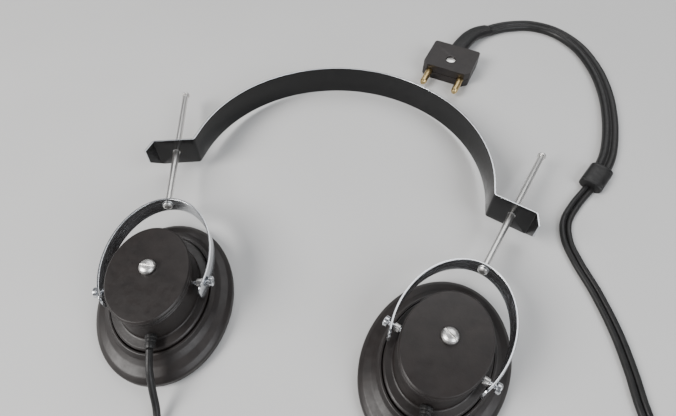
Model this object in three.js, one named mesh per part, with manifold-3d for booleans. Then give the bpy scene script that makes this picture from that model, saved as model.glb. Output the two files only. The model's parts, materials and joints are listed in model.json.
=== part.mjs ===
// Radio headphones of the crystal-set years: a strip-steel headband, two sliding rods, two sprung yokes and two
// oval magnetic earpieces, with their leads, a splitter sleeve, a twin cable and a two-pole plug.
// Millimetres, +Z up. The headphones lie on a table, earpieces on their caps, with the wearer's side towards -Y.

import * as THREE from "three";
import { mergeVertices } from "three/addons/utils/BufferGeometryUtils.js";
import Module from "manifold-3d";

const wasm = await Module();
wasm.setup();

// ---------------------------------------------------------------------------------------------------------------
// Driving dimensions
// ---------------------------------------------------------------------------------------------------------------

const GAP = 0.3; // air between neighbouring pieces
const radians = THREE.MathUtils.degToRad;

// headband: one steel strip on edge, bent to an arch with a plate and a lip at each end
const STRIP = 0.9;
const BAND_HEIGHT = 16;
const ARCH_RADIUS = 75.2;
const ARCH_Y = 82; // from the line of the earpiece centres to the centre of the arch
const INNER_CORNER = [75.4, 76.6];
const PLATE_LENGTH = 20;
const LIP = [0.5, -7.5]; // from the outer corner to the tip of the lip
const LIP_END_HEIGHT = 8; // of the lip's front end, above the corner that is cut off below it
const BEND_REACH = 1.2;

// rods and yokes
const ROD_SPLAY = radians(19.5); // each rod leans out from the headband's middle line, square to its plate
const ROD_RADIUS = 1.55;
const ROD_TIP = 125.3; // from the pivot axis to the end of the cap
const TENON_RADIUS = 0.9;
const BORE_CLEARANCE = 0.3;
const YOKE_HALF_WIDTH = 22.5;
const YOKE_HALF_LENGTH = 32.5;
const YOKE_CENTRE_Y = 9.5;
const YOKE_LEG_END_Y = -8;
const YOKE_STRIP_WIDTH = 8;
const PIVOT_Y = -2; // the pivot axis crosses the rod's line this far from the earpiece's middle

// earpieces: turned shapes stretched along the rod's direction
const EAR_OFFSET = 59.3; // from the middle line to each earpiece centre
const OVAL = 1.28;
const PIN_HEIGHT = 19;
const CAP_RADIUS = 29.3;
const CAP_SEAT_RADIUS = 20.75;
const HOUSING_BASE_RADIUS = 20.4;
const HOUSING_FOOT_RADIUS = 16.9; // of the tapering wall where it rises from the base ring
const COVER_RADIUS = 16.65;
const COVER_TOP = 28.5;
const SCREW_HEAD_RADIUS = 3.3;
const SCREW_Y = 2; // the cover screw stands on the rod's side of the middle
const SCREW_BORE_RADIUS = 1.8;
const COLLAR_RADIUS = 1.6;
const SLOT_TURN = { left: radians(-11.5), right: radians(-17.5) };
const LEAD_EXIT_HEIGHT = 15.6;
const LEAD_EXIT_TURN = { left: 0, right: radians(12) }; // round the housing, from the point opposite the rod

// cords
const LEAD_DIAMETER = 2.8;
const LEAD_PITCH = 2.9; // between two leads that lie side by side
const TWIN_THICKNESS = 4.4;
const TWIN_WIDTH = 8.8;
const COIL_CENTRE = [130, -44];
const COIL_OUTER_RADIUS = 31.2;
const COIL_INNER_RADIUS = 6.6;
const COIL_HEIGHT = 5.7;

// plug
const PLUG_WIDTH = 30;
const PLUG_LENGTH = 25.6;
const PLUG_THICKNESS = 9.5;
const PIN_SPACING = 20;
const PLUG_PIN_RADIUS = 2;
const PLUG_TOP = [50.3, 203];
const PLUG_TURN = radians(-12.7);

const OUTER_CORNER = [
  INNER_CORNER[0] + PLATE_LENGTH * Math.cos(ROD_SPLAY),
  INNER_CORNER[1] - PLATE_LENGTH * Math.sin(ROD_SPLAY),
];
const LIP_END = [OUTER_CORNER[0] + LIP[0], OUTER_CORNER[1] + LIP[1]];
const EAR_TO_PLATE = (INNER_CORNER[0] - EAR_OFFSET) * Math.sin(ROD_SPLAY) + INNER_CORNER[1] * Math.cos(ROD_SPLAY);

// The headband leans until the lower edge of its arch meets the table behind the earpieces.
const ARCH_BACK = ARCH_Y + ARCH_RADIUS + STRIP / 2;
const LEAN = Math.asin((PIN_HEIGHT - BAND_HEIGHT / 2) / ARCH_BACK);
const YAW = Math.atan2(Math.sin(ROD_SPLAY), Math.cos(ROD_SPLAY) * Math.cos(LEAN));
const ROD_PITCH = Math.asin(Math.cos(ROD_SPLAY) * Math.sin(LEAN));
const PIVOT_PLACE = [PIVOT_Y * Math.cos(ROD_PITCH), PIN_HEIGHT - PIVOT_Y * Math.sin(ROD_PITCH)];

// The origin is at the middle of the headphones' footprint.
const FRONT = Math.hypot(CAP_RADIUS * OVAL * Math.cos(YAW), CAP_RADIUS * Math.sin(YAW));
const BACK = ARCH_BACK * Math.cos(LEAN) + (BAND_HEIGHT / 2) * Math.sin(LEAN);
const EAR_LINE_Y = (FRONT - BACK) / 2;

// ---------------------------------------------------------------------------------------------------------------
// Finishes
// ---------------------------------------------------------------------------------------------------------------

function finish(color, roughness, metalness) {
  return new THREE.MeshStandardMaterial({ color, roughness, metalness });
}

const BAKELITE = finish(0x241f1f, 0.42, 0);
const BLACK_ENAMEL = finish(0x0e0e0f, 0.2, 0.1);
const STEEL = finish(0xc9ccd0, 0.22, 1);
const NICKEL = finish(0xd6d3cc, 0.3, 1);
const RUBBER = finish(0x1a1a1b, 0.6, 0);
const IRON = finish(0x5b5c60, 0.5, 1);
const MAGNET_STEEL = finish(0x3c3f45, 0.45, 1);
const WINDING = finish(0x2f5a3c, 0.55, 0);
const BRASS = finish(0xb59a52, 0.35, 1);

// ---------------------------------------------------------------------------------------------------------------
// Shape helpers
// ---------------------------------------------------------------------------------------------------------------

/** Turned about Y: the profile holds [radius, y] pairs and runs with its outer side upwards. */
function turnedAboutY(profile, segments = 16) {
  return new THREE.LatheGeometry(profile.map(([r, y]) => new THREE.Vector2(r, y)), segments);
}

/** Turned about Z. */
function turned(profile, segments = 16) {
  return turnedAboutY(profile, segments).rotateX(Math.PI / 2);
}

/** Turned about Z and stretched along Y to the earpiece's oval. */
function ovalTurned(profile, segments = 32) {
  return turned(profile, segments).scale(1, OVAL, 1);
}

function closed(profile) {
  return [...profile, profile[0]];
}

function rod(radius, length, segments = 12) {
  return new THREE.CylinderGeometry(radius, radius, length, segments);
}

function extruded(shape, depth, curveSegments = 8) {
  return new THREE.ExtrudeGeometry(shape, { depth, curveSegments, bevelEnabled: false });
}

function shapeOf(points) {
  return new THREE.Shape(points.map(([x, y]) => new THREE.Vector2(x, y)));
}

function rectangle(width, height) {
  const [x, y] = [width / 2, height / 2];
  return shapeOf([[-x, -y], [x, -y], [x, y], [-x, y]]);
}

/** Turns a shape drawn in the side view, as (y, z), to stand across X. */
function acrossX(geometry) {
  return geometry.applyMatrix4(new THREE.Matrix4().makeBasis(
    new THREE.Vector3(0, 1, 0), new THREE.Vector3(0, 0, 1), new THREE.Vector3(1, 0, 0)));
}

/** The outline of a strip of even thickness that follows a plane path. */
function stripShape(path, thickness) {
  const offset = (side) => path.map(([x, y], i) => {
    const [x0, y0] = path[Math.max(i - 1, 0)];
    const [x1, y1] = path[Math.min(i + 1, path.length - 1)];
    const length = Math.hypot(x1 - x0, y1 - y0);
    const shift = (side * thickness) / 2 / length;
    return [x + (y1 - y0) * shift, y - (x1 - x0) * shift];
  });
  return shapeOf([...offset(1), ...offset(-1).reverse()]);
}

/** A closed mesh as a solid for joining and cutting. */
function toSolid(geometry) {
  const bare = geometry.clone();
  bare.deleteAttribute("normal");
  bare.deleteAttribute("uv");
  const merged = mergeVertices(bare, 1e-4);
  const index = merged.index.array;
  const triVerts = [];
  for (let i = 0; i < index.length; i += 3) {
    const [a, b, c] = [index[i], index[i + 1], index[i + 2]];
    if (a !== b && b !== c && c !== a) triVerts.push(a, b, c);
  }
  const vertProperties = new Float32Array(merged.attributes.position.array);
  const mesh = new wasm.Mesh({ numProp: 3, vertProperties, triVerts: new Uint32Array(triVerts) });
  return new wasm.Manifold(mesh);
}

function fromSolid(solid) {
  const mesh = solid.getMesh();
  const geometry = new THREE.BufferGeometry();
  geometry.setAttribute("position", new THREE.BufferAttribute(new Float32Array(mesh.vertProperties), 3));
  geometry.setIndex(new THREE.BufferAttribute(new Uint32Array(mesh.triVerts), 1));
  geometry.computeVertexNormals();
  return geometry;
}

function cutAway(geometry, ...cutters) {
  return fromSolid(cutters.reduce((solid, cutter) => solid.subtract(toSolid(cutter)), toSolid(geometry)));
}

function addPiece(parent, name, geometry, material) {
  const mesh = new THREE.Mesh(geometry, material);
  mesh.name = name;
  parent.add(mesh);
  return mesh;
}

function place(parent, x, y, z, turn = 0) {
  const group = new THREE.Group();
  group.position.set(x, y, z);
  group.rotation.z = turn;
  parent.add(group);
  return group;
}

// ---------------------------------------------------------------------------------------------------------------
// Headband
// ---------------------------------------------------------------------------------------------------------------

/** One end of the strip's centre line, from the tip of the lip to the start of the arch. */
function bandEndPath(side) {
  const corners = [LIP_END, OUTER_CORNER, INNER_CORNER, [ARCH_RADIUS, ARCH_Y]];
  const points = [corners[0]];
  for (let i = 1; i < corners.length - 1; i += 1) {
    points.push(...bend(corners[i - 1], corners[i], corners[i + 1], BEND_REACH));
  }
  return points.map(([x, y]) => [side * x, y]);
}

/** Points round a corner of the path, in place of the sharp one. */
function bend(before, corner, after, reach) {
  const p = new THREE.Vector2(...corner);
  const from = new THREE.Vector2(...before).sub(p).setLength(reach).add(p);
  const to = new THREE.Vector2(...after).sub(p).setLength(reach).add(p);
  const curve = new THREE.QuadraticBezierCurve(from, p, to);
  return curve.getPoints(3).map((q) => [q.x, q.y]);
}

function bandPath() {
  const arch = new THREE.EllipseCurve(0, ARCH_Y, ARCH_RADIUS, ARCH_RADIUS, 0, Math.PI);
  const archPoints = arch.getPoints(36).map((q) => [q.x, q.y]);
  return [...bandEndPath(1), ...archPoints, ...bandEndPath(-1).reverse()];
}

/** What is cut off below the lips' ends, right across the headband. */
function lipCorners() {
  const bottom = -BAND_HEIGHT / 2;
  const [front, back] = [LIP_END[1], OUTER_CORNER[1]];
  const top = -bottom - LIP_END_HEIGHT;
  const shape = shapeOf([
    [front - 2, bottom - 2], [back, bottom - 2], [back, bottom], [front, top], [front - 2, top],
  ]);
  const reach = 2 * LIP_END[0] + 10;
  return acrossX(extruded(shape, reach).translate(0, 0, -reach / 2));
}

/** The hole in a plate, on the line of its rod. */
function rodHole(side) {
  const hole = rod(ROD_RADIUS + BORE_CLEARANCE, 8, 16).translate(0, EAR_TO_PLATE, 0);
  return hole.rotateZ(-side * ROD_SPLAY).translate(side * EAR_OFFSET, 0, 0);
}

function headband(headset) {
  const frame = place(headset, 0, 0, PIN_HEIGHT);
  frame.rotation.x = -LEAN;
  const strip = extruded(stripShape(bandPath(), STRIP), BAND_HEIGHT).translate(0, 0, -BAND_HEIGHT / 2);
  addPiece(frame, "headband", cutAway(strip, lipCorners(), rodHole(-1), rodHole(1)), BLACK_ENAMEL);
}

// ---------------------------------------------------------------------------------------------------------------
// Rods and yokes
// ---------------------------------------------------------------------------------------------------------------

function yokePath() {
  const start = Math.asin((YOKE_LEG_END_Y - YOKE_CENTRE_Y) / YOKE_HALF_LENGTH);
  const arc = new THREE.EllipseCurve(
    0, YOKE_CENTRE_Y, YOKE_HALF_WIDTH, YOKE_HALF_LENGTH, start, Math.PI - start);
  return arc.getPoints(28).map((q) => [q.x, q.y]);
}

function yoke(frame, name) {
  const strip = extruded(stripShape(yokePath(), STRIP), YOKE_STRIP_WIDTH);
  strip.translate(0, 0, -YOKE_STRIP_WIDTH / 2);
  const bore = TENON_RADIUS + BORE_CLEARANCE;
  const pivotHoles = rod(bore, 3 * YOKE_HALF_WIDTH).rotateZ(Math.PI / 2).translate(0, PIVOT_Y, 0);
  const rivetHole = rod(bore, 6).translate(0, YOKE_CENTRE_Y + YOKE_HALF_LENGTH, 0);
  addPiece(frame, `yoke_${name}`, cutAway(strip, pivotHoles, rivetHole), STEEL);
}

/** The rod's inner end is riveted through the yoke, and its outer end carries a small screwed cap. */
function slidingRod(frame, name) {
  const apex = YOKE_CENTRE_Y + YOKE_HALF_LENGTH;
  const rivet = apex - STRIP / 2 - GAP;
  const shoulder = apex + STRIP / 2 + GAP;
  const end = ROD_TIP - 2.1;
  const profile = [
    [0, rivet - 1.3], [1.4, rivet - 1.15], [2.2, rivet - 0.6], [2.2, rivet], [TENON_RADIUS, rivet],
    [TENON_RADIUS, shoulder], [ROD_RADIUS, shoulder], [ROD_RADIUS, end], [TENON_RADIUS, end],
    [TENON_RADIUS, end + 1.2], [0, end + 1.2],
  ];
  addPiece(frame, `rod_${name}`, turnedAboutY(profile), NICKEL);
}

function rodCap(frame, name) {
  const mouth = ROD_TIP - 2.1 + GAP;
  const bore = TENON_RADIUS + BORE_CLEARANCE;
  const profile = [
    [0, mouth + 1.2], [bore, mouth + 1.2], [bore, mouth], [2.15, mouth], [2.15, ROD_TIP - 0.7],
    [1.6, ROD_TIP - 0.1], [0, ROD_TIP],
  ];
  addPiece(frame, `rod_cap_${name}`, turnedAboutY(profile), NICKEL);
}

// ---------------------------------------------------------------------------------------------------------------
// Earpieces
// ---------------------------------------------------------------------------------------------------------------

/** The flared cap against the ear, with a hole in its middle and a ring of small ones. */
function earCap(ear, name) {
  const profile = closed([
    [3.4, 2.6], [22, 1.5], [25.6, 0], [27.9, 0], [28.9, 1], [CAP_RADIUS, 2.8], [28.9, 4.6], [27.4, 6.2],
    [24.4, 7.8], [21.5, 10.9], [CAP_SEAT_RADIUS, 10.9], [CAP_SEAT_RADIUS, 5.2], [16.8, 5.2], [16.6, 4.3],
    [3.4, 4.3],
  ]);
  const ringRadius = 9;
  const holes = Array.from({ length: 6 }, (_, i) => {
    const angle = (i * Math.PI) / 3;
    const [x, y] = [ringRadius * Math.cos(angle), ringRadius * OVAL * Math.sin(angle)];
    return rod(1.4, 8, 8).rotateX(Math.PI / 2).translate(x, y, 3);
  });
  addPiece(ear, `ear_cap_${name}`, cutAway(ovalTurned(profile, 40), ...holes), BAKELITE);
}

/** The cup that holds the works: a base ring that screws into the cap, a tapering wall and a closed back. */
function housing(ear, name) {
  const profile = closed([
    [17.4, 6.1], [HOUSING_BASE_RADIUS, 6.1], [HOUSING_BASE_RADIUS, 11.8], [19.8, 12.4],
    [HOUSING_FOOT_RADIUS, 12.8], [16.1, 23.2], [16.4, 23.5], [16.3, 24.6], [0, 24.6], [0, 22.8],
    [13.9, 22.8], [15, 12.4], [17.4, 11],
  ]);
  const pivotBores = alongPivot(rod(TENON_RADIUS + BORE_CLEARANCE, 60), 1);
  const leadBore = rod(1.9, 14).translate(0, -OVAL * 16, LEAD_EXIT_HEIGHT).rotateZ(LEAD_EXIT_TURN[name]);
  const cutters = [screwBore(), pivotBores, leadBore];
  addPiece(ear, `housing_${name}`, cutAway(ovalTurned(profile), ...cutters), BAKELITE);
}

/** The hole for the cover screw, through the housing's back and the cover. */
function screwBore() {
  return rod(SCREW_BORE_RADIUS, 8).rotateX(Math.PI / 2).translate(0, SCREW_Y, 25.5);
}

/** Turns a shape from Y to the pivot axis, towards one end of it. */
function alongPivot(geometry, end) {
  return geometry.rotateZ((-end * Math.PI) / 2).translate(0, PIVOT_PLACE[0], PIVOT_PLACE[1]);
}

function cover(ear, name) {
  const profile = closed([
    [0, 24.9], [15.9, 24.9], [COVER_RADIUS, 25.6], [COVER_RADIUS, 27.7], [16.2, COVER_TOP], [0, COVER_TOP],
  ]);
  addPiece(ear, `cover_${name}`, cutAway(ovalTurned(profile), screwBore()), BAKELITE);
}

function coverScrew(ear, name) {
  const seat = COVER_TOP + GAP;
  const profile = [
    [0, 21.1], [1.5, 21.1], [1.5, seat], [SCREW_HEAD_RADIUS, seat], [SCREW_HEAD_RADIUS, seat + 0.9],
    [2.9, seat + 1.6], [2, seat + 2.1], [0, seat + 2.4],
  ];
  const slot = new THREE.BoxGeometry(10, 0.8, 2).rotateZ(SLOT_TURN[name]).translate(0, 0, seat + 2.4);
  const screw = cutAway(turned(profile, 20), slot).translate(0, SCREW_Y, 0);
  addPiece(ear, `cover_screw_${name}`, screw, NICKEL);
}

function diaphragm(ear, name) {
  const profile = [[0, 5.5], [20.1, 5.5], [20.1, 5.8], [0, 5.8]];
  addPiece(ear, `diaphragm_${name}`, ovalTurned(profile), IRON);
}

/** An open ring of magnet steel round the two poles. */
function magnet(ear, name) {
  const [inner, outer] = [8.5, 13];
  const opening = radians(28);
  const shape = new THREE.Shape();
  shape.absarc(0, 0, outer, opening, 2 * Math.PI - opening, false);
  shape.absarc(0, 0, inner, 2 * Math.PI - opening, opening, true);
  shape.closePath();
  addPiece(ear, `magnet_${name}`, extruded(shape, 5, 10).translate(0, 0, 13.8), MAGNET_STEEL);
}

/** An L of soft iron: its foot lies on the magnet, and its tip stands just clear of the diaphragm. */
function polePiece(ear, name, end) {
  const width = 7;
  const outline = shapeOf([[3.6, 6.5], [5.6, 6.5], [5.6, 19.1], [11.5, 19.1], [11.5, 20.7], [3.6, 20.7]]);
  const bar = acrossX(extruded(outline, width).translate(0, 0, -width / 2));
  bar.rotateZ(end > 0 ? 0 : Math.PI);
  addPiece(ear, `pole_${end > 0 ? "rear" : "front"}_${name}`, bar, IRON);
}

function coil(ear, name, end) {
  const shape = rectangle(10.8, 5.6);
  shape.holes.push(rectangle(7.6, 2.6));
  const spool = extruded(shape, 5.8).translate(0, end * 4.6, 7.6);
  addPiece(ear, `coil_${end > 0 ? "rear" : "front"}_${name}`, spool, WINDING);
}

/** A pivot screw: its head is outside the yoke and its plain end is fixed in the housing's wall. */
function pivotScrew(ear, name, end) {
  const [tip, seat] = [14.8, 22.4];
  const profile = [
    [0, tip], [TENON_RADIUS, tip], [TENON_RADIUS, seat], [2.2, seat], [2.2, seat + 1.4],
    [1.7, seat + 1.8], [0, seat + 1.8],
  ];
  const screw = alongPivot(turnedAboutY(profile), end);
  addPiece(ear, `pivot_screw_${end > 0 ? "right" : "left"}_${name}`, screw, STEEL);
}

function collar(ear, name, end) {
  const bore = TENON_RADIUS + BORE_CLEARANCE;
  const [inner, outer] = [17.3, 19.7];
  const profile = closed([[bore, inner], [COLLAR_RADIUS, inner], [COLLAR_RADIUS, outer], [bore, outer]]);
  const ring = alongPivot(turnedAboutY(profile), end);
  addPiece(ear, `collar_${end > 0 ? "right" : "left"}_${name}`, ring, NICKEL);
}

/** The rubber boot round the lead, let into the housing's wall at its front end. */
function leadBoot(ear, name) {
  const wall = OVAL * 16.8;
  const profile = [[0, wall - 2.6], [1.5, wall - 2.6], [1.5, wall + 0.9], [2.2, wall + 0.9],
    [2.1, wall + 2.8], [1.8, wall + 5], [0, wall + 5]];
  const boot = turnedAboutY(profile).rotateZ(Math.PI + LEAD_EXIT_TURN[name]);
  addPiece(ear, `lead_boot_${name}`, boot.translate(0, 0, LEAD_EXIT_HEIGHT), RUBBER);
}

function earpiece(headset, name, side) {
  const ear = place(headset, side * EAR_OFFSET, 0, 0, -side * YAW);
  earCap(ear, name);
  housing(ear, name);
  cover(ear, name);
  coverScrew(ear, name);
  diaphragm(ear, name);
  magnet(ear, name);
  leadBoot(ear, name);
  for (const end of [-1, 1]) {
    polePiece(ear, name, end);
    coil(ear, name, end);
    pivotScrew(ear, name, end);
    collar(ear, name, end);
  }
}

function rodAndYoke(headset, name, side) {
  const turn = place(headset, side * EAR_OFFSET, 0, PIN_HEIGHT, -side * YAW);
  const frame = place(turn, 0, 0, 0);
  frame.rotation.x = -ROD_PITCH;
  yoke(frame, name);
  slidingRod(frame, name);
  rodCap(frame, name);
}

// ---------------------------------------------------------------------------------------------------------------
// Leads, splitter, twin cable and plug
// ---------------------------------------------------------------------------------------------------------------

const LEAD_Z = LEAD_DIAMETER / 2;

// each lead runs from its boot straight out over the cap's rim, down to the table and along it to the coil
const LEAD_ROUTES = {
  left: [
    [-50.3, -25.4, LEAD_EXIT_HEIGHT], [-47.9, -31.6, 13.9], [-45.2, -37.6, 9.6], [-42.6, -43.1, 4.6],
    [-40.2, -48.8, 1.9], [-36.8, -56, LEAD_Z], [-30, -64, LEAD_Z], [-19, -69.8, LEAD_Z], [-4, -72.6, LEAD_Z],
    [20, -73.4, LEAD_Z], [50, -73.5, LEAD_Z], [82, -73.5, LEAD_Z], [110.5, -73.4, LEAD_Z],
  ],
  right: [
    [55.8, -26.8, LEAD_EXIT_HEIGHT], [54.6, -32.6, 13.9], [52.6, -38.4, 9.6], [50.4, -44, 4.6],
    [48.6, -49.8, 1.9], [48.1, -56.6, LEAD_Z], [50.8, -63.2, LEAD_Z], [57, -68, LEAD_Z], [66, -70.3, LEAD_Z],
    [84, -70.6, LEAD_Z], [106.5, -70.5, LEAD_Z],
  ],
};

// the middle line of the two leads, from the coil to the splitter
const PAIR_ROUTE = [
  [145.3, -12.6], [142.6, -6.2], [140.2, 2], [137.8, 14.4], [133.7, 30], [126.8, 47.5], [119.3, 62.3],
  [115.4, 73], [115.3, 84], [120.1, 95.6], [126.9, 107],
];

const TWIN_ROUTE = [
  [136, 124.4], [139.2, 133.5], [141.6, 145], [143.5, 165], [142.9, 188], [138.3, 211], [128.6, 232],
  [114.4, 245], [98.6, 248.6], [83.2, 244.3], [74.4, 239.3], [70.4, 236.3],
];

const BOOT_ROUTE = [
  [69.9, 235.9, 2.8], [66, 233, 3.1], [61.8, 228.9, 3.7], [57.2, 221.9, 4.3], [53.2, 212.4, 4.7],
  [51, 205.9, PLUG_THICKNESS / 2], [49.2, 198.2, PLUG_THICKNESS / 2],
];

function tubeAlong(points, shape, spacing) {
  const path = new THREE.CatmullRomCurve3(points.map((p) => new THREE.Vector3(...p)), false, "centripetal");
  const steps = Math.max(2, Math.round(path.getLength() / spacing));
  return new THREE.ExtrudeGeometry(shape, { steps, extrudePath: path, bevelEnabled: false });
}

function roundSection(diameter, sides = 8) {
  const corner = (i) => [(diameter / 2) * Math.cos((2 * Math.PI * i) / sides),
    (diameter / 2) * Math.sin((2 * Math.PI * i) / sides)];
  return shapeOf(Array.from({ length: sides }, (_, i) => corner(i)));
}

/** A flat section with round edges, its height along X and its width along Y, as the extrusion turns it. */
function flatSection(width, height, sides = 12) {
  const straight = (width - height) / 2;
  const corner = (i) => {
    const angle = (2 * Math.PI * (i + 0.5)) / sides;
    const y = (height / 2) * Math.sin(angle);
    return [(height / 2) * Math.cos(angle), y + Math.sign(y) * straight];
  };
  return shapeOf(Array.from({ length: sides }, (_, i) => corner(i)));
}

/** A plane route moved sideways, to its right for a positive distance. */
function sideways(route, distance) {
  return route.map(([x, y], i) => {
    const [x0, y0] = route[Math.max(i - 1, 0)];
    const [x1, y1] = route[Math.min(i + 1, route.length - 1)];
    const length = Math.hypot(x1 - x0, y1 - y0);
    return [x + ((y1 - y0) * distance) / length, y - ((x1 - x0) * distance) / length];
  });
}

function leads(headset) {
  const section = roundSection(LEAD_DIAMETER);
  const spacing = 3 * LEAD_DIAMETER;
  for (const [name, side] of [["left", 1], ["right", -1]]) {
    addPiece(headset, `lead_${name}`, tubeAlong(LEAD_ROUTES[name], section, spacing), RUBBER);
    const upper = sideways(PAIR_ROUTE, (side * LEAD_PITCH) / 2).map(([x, y]) => [x, y, LEAD_Z]);
    addPiece(headset, `lead_${name}_upper`, tubeAlong(upper, section, spacing), RUBBER);
  }
}

function leadCoil(headset) {
  const profile = closed([
    [COIL_INNER_RADIUS, 0], [COIL_OUTER_RADIUS, 0], [COIL_OUTER_RADIUS, COIL_HEIGHT],
    [COIL_INNER_RADIUS, COIL_HEIGHT],
  ]);
  addPiece(place(headset, ...COIL_CENTRE, 0), "lead_coil", turned(profile, 32), RUBBER);
}

function splitter(headset) {
  const [width, length, height] = [12, 16, 6];
  const [[x0, y0], [x1, y1]] = [PAIR_ROUTE.at(-1), TWIN_ROUTE[0]];
  const turn = -Math.atan2(x1 - x0, y1 - y0);
  const frame = place(headset, (x0 + x1) / 2, (y0 + y1) / 2, 0, turn);
  const sleeve = extruded(flatSection(width, height, 16), length).translate(0, 0, -length / 2);
  sleeve.rotateZ(Math.PI / 2).rotateX(Math.PI / 2).translate(0, 0, height / 2);
  addPiece(frame, "splitter", sleeve, RUBBER);
}

function twinCable(headset) {
  const route = TWIN_ROUTE.map(([x, y]) => [x, y, TWIN_THICKNESS / 2]);
  const section = flatSection(TWIN_WIDTH, TWIN_THICKNESS);
  addPiece(headset, "twin_cable", tubeAlong(route, section, 3 * TWIN_THICKNESS), RUBBER);
}

function plugBoot(headset) {
  addPiece(headset, "plug_boot", tubeAlong(BOOT_ROUTE, flatSection(9.6, 5.6), 5), RUBBER);
}

/** The outline of the plug seen from above, its pins' end towards -Y with cut corners. */
function plugOutline() {
  const [x, cut] = [PLUG_WIDTH / 2, 3];
  return shapeOf([
    [-x + cut, -PLUG_LENGTH], [x - cut, -PLUG_LENGTH], [x, -PLUG_LENGTH + cut], [x, -1.2], [x - 1.2, 0],
    [-x + 1.2, 0], [-x, -1.2], [-x, -PLUG_LENGTH + cut],
  ]);
}

function plugShell(plug, name, low, high) {
  const middle = PLUG_THICKNESS / 2;
  const seats = [-1, 1].map((end) => rod(PLUG_PIN_RADIUS + GAP, 24)
    .translate((end * PIN_SPACING) / 2, -PLUG_LENGTH, middle));
  const bootSeat = new THREE.BoxGeometry(10.4, 13, 6.4).translate(0, 0, middle);
  const screwBore = rod(1.8, 3 * PLUG_THICKNESS).rotateX(Math.PI / 2).translate(0, -15, middle);
  const headSeat = rod(3.1, 4).rotateX(Math.PI / 2).translate(0, -15, PLUG_THICKNESS);
  const block = extruded(plugOutline(), high - low).translate(0, 0, low);
  addPiece(plug, name, cutAway(block, ...seats, bootSeat, screwBore, headSeat), BAKELITE);
}

function plugPin(plug, name, end) {
  const [root, shoulder, tip] = [-PLUG_LENGTH + 11, -PLUG_LENGTH - 11.6, -PLUG_LENGTH - 13];
  const profile = [
    [0, -root], [PLUG_PIN_RADIUS, -root], [PLUG_PIN_RADIUS, -shoulder], [1.2, -tip], [0, -tip],
  ];
  const pin = turnedAboutY(profile).rotateZ(Math.PI);
  pin.translate((end * PIN_SPACING) / 2, 0, PLUG_THICKNESS / 2);
  addPiece(plug, name, pin, BRASS);
}

function plugScrew(plug) {
  const seat = PLUG_THICKNESS - 2 + GAP;
  const profile = [
    [0, 0.6], [1.5, 0.6], [1.5, seat], [2.8, seat], [2.8, seat + 1], [2.2, seat + 1.4], [0, seat + 1.4],
  ];
  const slot = new THREE.BoxGeometry(8, 0.7, 1.2).rotateZ(radians(20)).translate(0, 0, seat + 1.4);
  addPiece(plug, "plug_screw", cutAway(turned(profile, 16), slot).translate(0, -15, 0), NICKEL);
}

function plugAssembly(headset) {
  const plug = place(headset, ...PLUG_TOP, 0, PLUG_TURN);
  const middle = PLUG_THICKNESS / 2;
  plugShell(plug, "plug_shell_lower", 0, middle - GAP / 2);
  plugShell(plug, "plug_shell_upper", middle + GAP / 2, PLUG_THICKNESS);
  plugPin(plug, "plug_pin_left", -1);
  plugPin(plug, "plug_pin_right", 1);
  plugScrew(plug);
}

// ---------------------------------------------------------------------------------------------------------------
// The whole
// ---------------------------------------------------------------------------------------------------------------

const headphones = new THREE.Group();
const headset = place(headphones, 0, EAR_LINE_Y, 0);
headband(headset);
for (const [name, side] of [["left", -1], ["right", 1]]) {
  rodAndYoke(headset, name, side);
  earpiece(headset, name, side);
}
leads(headset);
leadCoil(headset);
splitter(headset);
twinCable(headset);
plugBoot(headset);
plugAssembly(headset);

export default headphones;
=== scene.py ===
"""Looks for the radio headphones: fine meshes, procedural materials, cords, light and camera.

Shapes are written in millimetres in the frame of the piece that they belong to, and placed in the row's
frame, in metres, by that frame's matrix. The frames themselves come from the record's joints.
"""

import json
import math

import bmesh
import bpy
import numpy as np
from mathutils import Matrix, Vector


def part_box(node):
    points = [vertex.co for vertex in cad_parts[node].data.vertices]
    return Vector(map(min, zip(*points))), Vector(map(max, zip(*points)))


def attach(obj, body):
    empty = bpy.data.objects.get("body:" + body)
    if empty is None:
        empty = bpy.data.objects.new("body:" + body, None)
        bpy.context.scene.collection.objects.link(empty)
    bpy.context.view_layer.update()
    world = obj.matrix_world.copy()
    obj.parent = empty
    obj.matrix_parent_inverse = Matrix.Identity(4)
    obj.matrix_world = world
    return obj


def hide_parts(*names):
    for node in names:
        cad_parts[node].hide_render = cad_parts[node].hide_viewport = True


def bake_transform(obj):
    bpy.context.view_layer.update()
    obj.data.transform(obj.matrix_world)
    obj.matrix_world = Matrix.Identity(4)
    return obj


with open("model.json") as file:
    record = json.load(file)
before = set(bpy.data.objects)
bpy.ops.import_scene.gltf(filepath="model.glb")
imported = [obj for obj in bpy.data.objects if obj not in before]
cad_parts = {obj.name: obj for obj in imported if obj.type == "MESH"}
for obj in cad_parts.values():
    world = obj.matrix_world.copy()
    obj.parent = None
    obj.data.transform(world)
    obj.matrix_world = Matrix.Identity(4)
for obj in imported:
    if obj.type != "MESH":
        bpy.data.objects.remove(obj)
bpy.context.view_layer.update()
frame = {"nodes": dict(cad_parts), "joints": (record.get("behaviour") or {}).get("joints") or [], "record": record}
MM = 0.001
GAP = 0.3
SIDES = {"left": -1, "right": 1}

# ------------------------------------------------------------------------------------------------------------
# Frames of the moving parts, from the record's joints
# ------------------------------------------------------------------------------------------------------------

JOINTS = {joint["name"]: joint for joint in frame["joints"]}
PIVOT_Y = -2.0  # the pivot axis crosses the rod's line this far from the earpiece's middle


def axes(origin, x_axis, y_axis):
    """The matrix from millimetres in a piece's own frame to metres in the row's frame."""
    x, y = Vector(x_axis).normalized(), Vector(y_axis).normalized()
    matrix = Matrix((x, y, x.cross(y))).transposed().to_4x4()
    matrix.translation = origin
    return matrix @ Matrix.Scale(MM, 4)


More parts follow.
